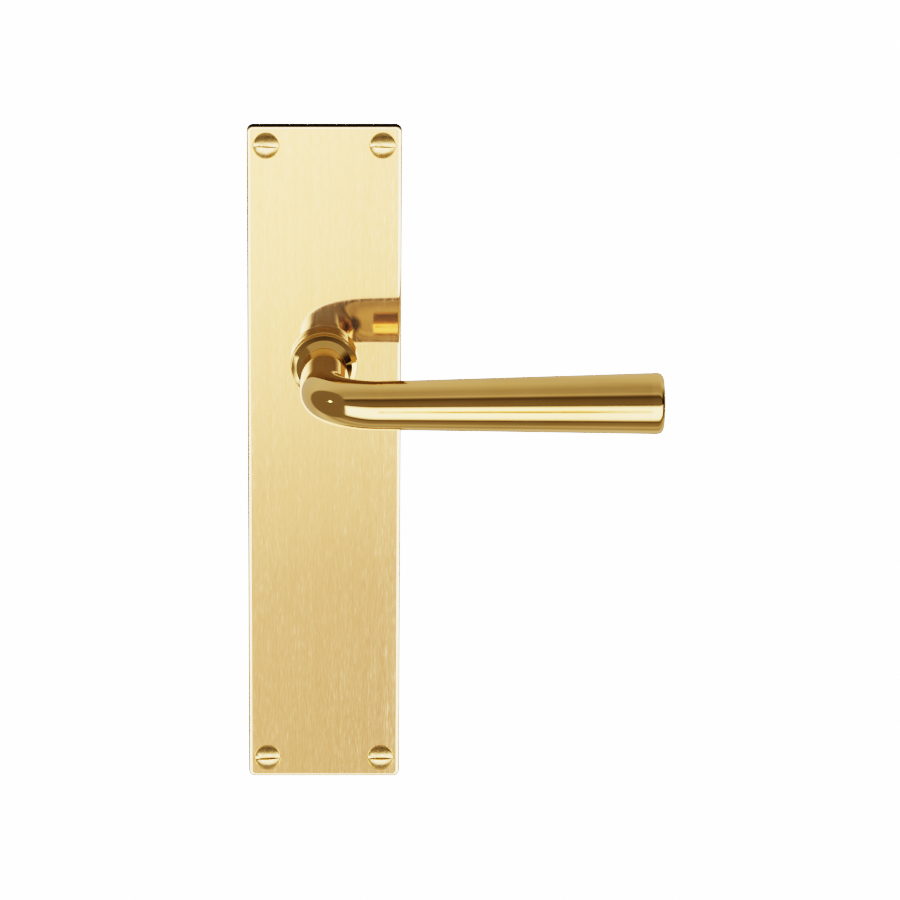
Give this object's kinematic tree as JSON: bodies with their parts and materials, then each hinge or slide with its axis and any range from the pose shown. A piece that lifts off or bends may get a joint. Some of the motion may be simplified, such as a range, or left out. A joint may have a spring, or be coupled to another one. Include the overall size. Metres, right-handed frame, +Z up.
{
  "type": "lever door handle on backplate",
  "caption": "Sprung door lever handle: a bent and tapered round brass bar turning in a collar on a long rectangular backplate, with a square spindle behind.",
  "frame": {"origin": "centre of the backplate's back face, which lies on the door", "axes": "+Z up along the backplate, +Y into the door, +X along the lever from the spindle to the tip"},
  "size_m": [0.1315, 0.1237, 0.22],
  "materials": {
    "satin_brass": "fine vertical brush, lacquered, reflective",
    "polished_brass": "mirror polished, lacquered",
    "screw_brass": "turned and lightly polished",
    "bright_steel": "bright drawn steel",
    "zinc_plated": "zinc plated pressed steel",
    "black_steel": "oiled black oxide",
    "nylon": "natural moulded nylon"
  },
  "bodies": {
    "plate": {"backplate": "satin_brass", "fixed_collar": "polished_brass", "plate_screw_upper_left": "screw_brass", "plate_screw_upper_right": "screw_brass", "plate_screw_lower_left": "screw_brass", "plate_screw_lower_right": "screw_brass", "bearing_sleeve": "nylon", "thrust_washer": "nylon", "collar_lock_nut": "screw_brass", "return_spring": "bright_steel", "spring_housing": "zinc_plated", "housing_cover": "zinc_plated", "stop_pin_rest": "bright_steel", "stop_pin_end": "bright_steel", "cassette_screw_upper": "zinc_plated", "cassette_screw_lower": "zinc_plated"},
    "handle": {"lever": "polished_brass", "spindle": "bright_steel", "grub_screw": "black_steel", "drive_cam": "zinc_plated", "wave_washer": "bright_steel", "shank_circlip": "black_steel"}
  },
  "joints": [
    {"name": "lever_turn", "type": "hinge", "parent": "plate", "child": "handle", "pos_m": [0, 0, 0.032], "axis": [0, 1, 0], "range_deg": [0, 40], "stiffness_Nm_per_rad": 0.6, "springref_deg": -34.38, "deforming": ["return_spring"]}
  ]
}
